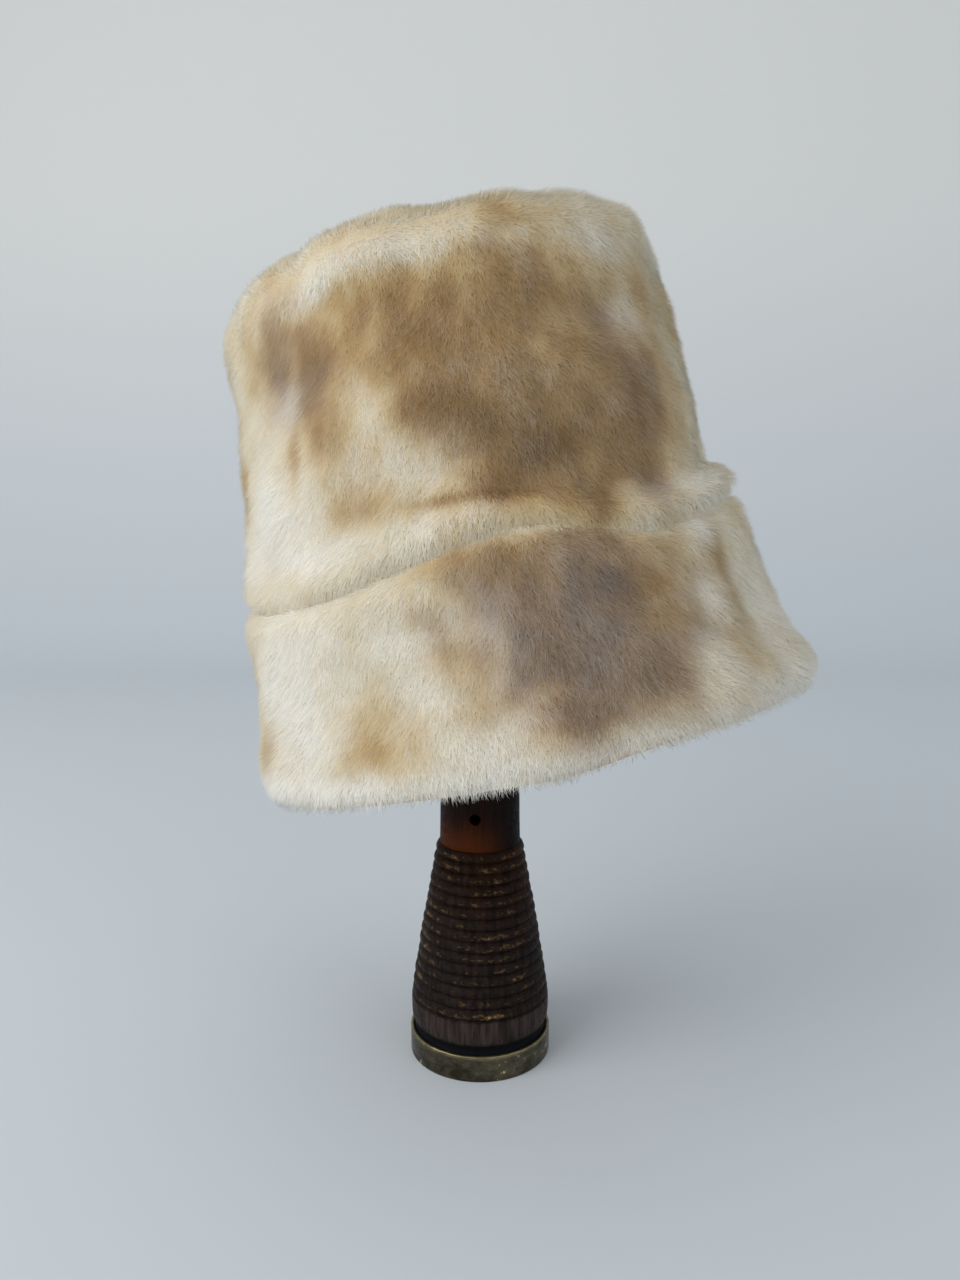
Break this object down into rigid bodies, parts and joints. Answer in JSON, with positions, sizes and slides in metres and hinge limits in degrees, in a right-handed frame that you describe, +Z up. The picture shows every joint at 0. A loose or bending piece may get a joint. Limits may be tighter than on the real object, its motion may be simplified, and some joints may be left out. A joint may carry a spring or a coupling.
{
  "type": "shearling bucket hat on a turned wooden bobbin stand",
  "caption": "Tall bucket hat of sheared sheepskin with a flared brim, leaning on a ribbed wooden bobbin stand with a brass foot ring.",
  "frame": {"origin": "middle of the stand's flat underside", "axes": "+Z up along the stand's axis, +X to the right seen from the front, -Y to the front"},
  "size_m": [0.2677, 0.253, 0.3943],
  "materials": {
    "fleece": "short dense sheared pile, cream with brown and grey-brown patches",
    "hide": "undyed suede, the flesh side of the skin inside the hat",
    "wood": "dark stained, worn varnish with paler flecks on the ribs",
    "brass": "aged, dull with a rubbed upper edge"
  },
  "bodies": {
    "root": {"crown_top": "fleece", "crown_side": "fleece", "brim": "fleece", "stand_barrel": "wood", "stand_ferrule": "brass"}
  },
  "joints": []
}
